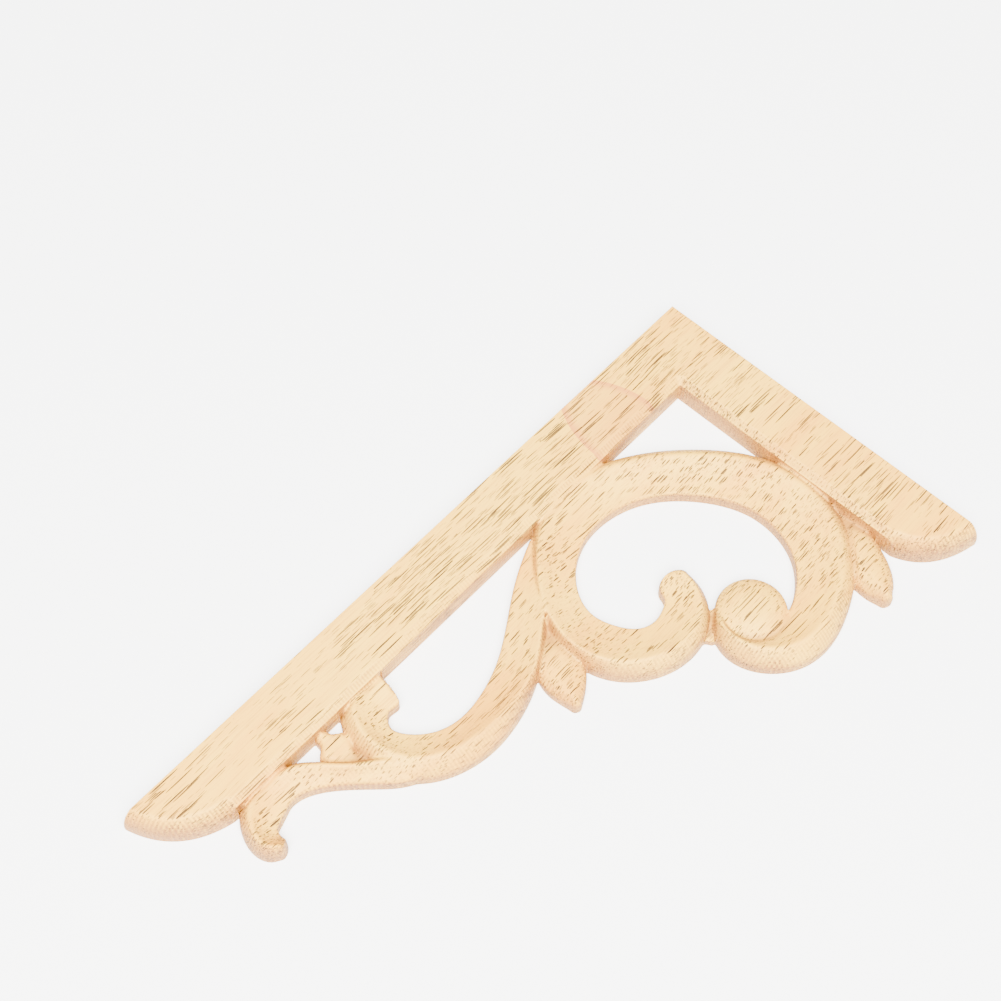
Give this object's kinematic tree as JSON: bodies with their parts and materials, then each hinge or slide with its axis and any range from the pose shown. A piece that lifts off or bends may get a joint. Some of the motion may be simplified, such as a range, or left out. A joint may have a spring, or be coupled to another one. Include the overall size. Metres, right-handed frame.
{
  "type": "wooden corner onlay",
  "caption": "Carved wooden corner onlay: two square bars at a right angle joined by a ring scroll, an S-curved limb, leaves and curled hooks, flat on the back.",
  "frame": {"origin": "on the flat back face, at the middle of the corner square where the two bars meet", "axes": "+X along the long bar towards its rounded end, +Y along the short bar towards its rounded end, +Z out of the carved face"},
  "size_m": [0.2999, 0.154, 0.012],
  "materials": {
    "rubberwood": "bare, sanded"
  },
  "bodies": {
    "root": {"corner_onlay": "rubberwood"}
  },
  "joints": []
}
